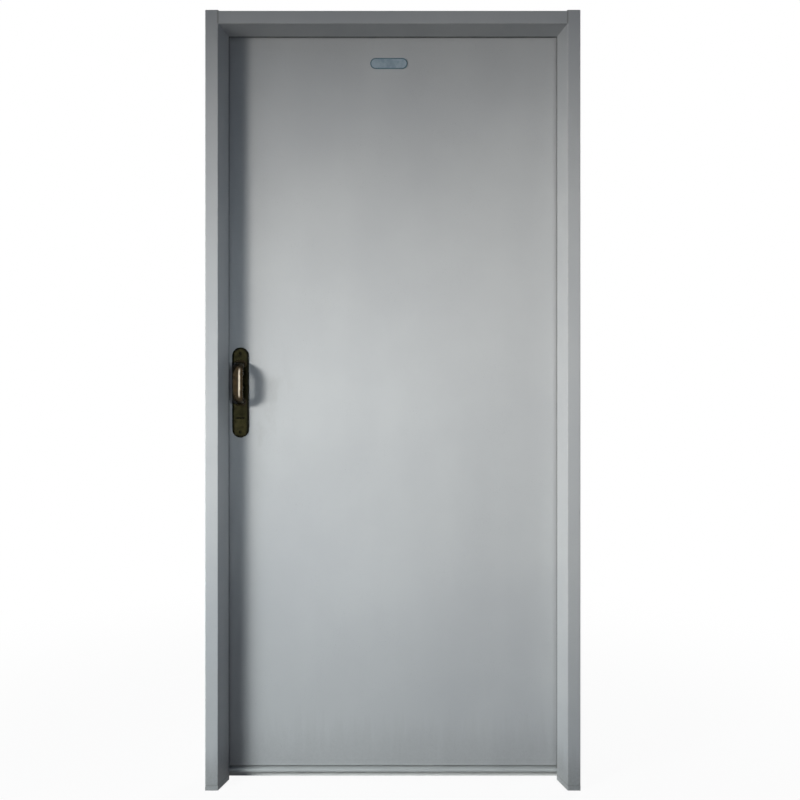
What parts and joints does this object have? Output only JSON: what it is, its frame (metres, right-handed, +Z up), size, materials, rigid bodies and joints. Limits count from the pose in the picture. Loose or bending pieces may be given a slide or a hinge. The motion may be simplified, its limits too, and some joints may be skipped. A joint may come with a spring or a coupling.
{
  "type": "flush door",
  "caption": "Grey sheet steel flush door in a folded steel frame with splayed jambs, a low sill and bronze bow pull handles.",
  "frame": {"origin": "on the floor, at the middle of the sill base's underside, in the middle of the closed leaf's thickness", "axes": "+X along the wall towards the hinge jamb, +Y through the wall away from the splayed side, +Z up"},
  "size_m": [1.01, 0.1845, 2.1],
  "materials": {
    "grey_paint": "satin light grey paint on sheet steel",
    "sill_steel": "grey paint, scuffed by feet",
    "seal_black": "matt flat strip",
    "bronze": "antique bronze, rubbed brighter on the grip",
    "steel": "brushed, satin",
    "bolt_brass": "plain brass",
    "core_board": "honeycomb board",
    "plate_blue": "pale blue face with a dark blue rim, blank"
  },
  "bodies": {
    "frame": {"left_jamb": "grey_paint", "right_jamb": "grey_paint", "head": "grey_paint", "sill": "sill_steel", "left_foot": "grey_paint", "right_foot": "grey_paint", "left_seal": "seal_black", "right_seal": "seal_black", "head_seal": "seal_black", "top_hinge_frame_flap": "steel", "middle_hinge_frame_flap": "steel", "bottom_hinge_frame_flap": "steel", "top_hinge_pin": "steel", "middle_hinge_pin": "steel", "bottom_hinge_pin": "steel"},
    "leaf": {"front_skin": "grey_paint", "back_skin": "grey_paint", "top_channel": "grey_paint", "bottom_channel": "grey_paint", "leaf_core": "core_board", "mortice_lock": "steel", "dead_bolt": "bolt_brass", "name_plate": "plate_blue", "front_handle_plate": "bronze", "front_grip": "bronze", "front_key_cover": "bronze", "back_handle_plate": "bronze", "back_grip": "bronze", "back_key_cover": "bronze", "top_hinge_leaf_flap": "steel", "middle_hinge_leaf_flap": "steel", "bottom_hinge_leaf_flap": "steel"}
  },
  "joints": [
    {"name": "leaf_hinge", "type": "hinge", "parent": "frame", "child": "leaf", "pos_m": [0.469, 0.03, 1.0489], "axis": [0, 0, -1], "range_deg": [0, 110]}
  ]
}
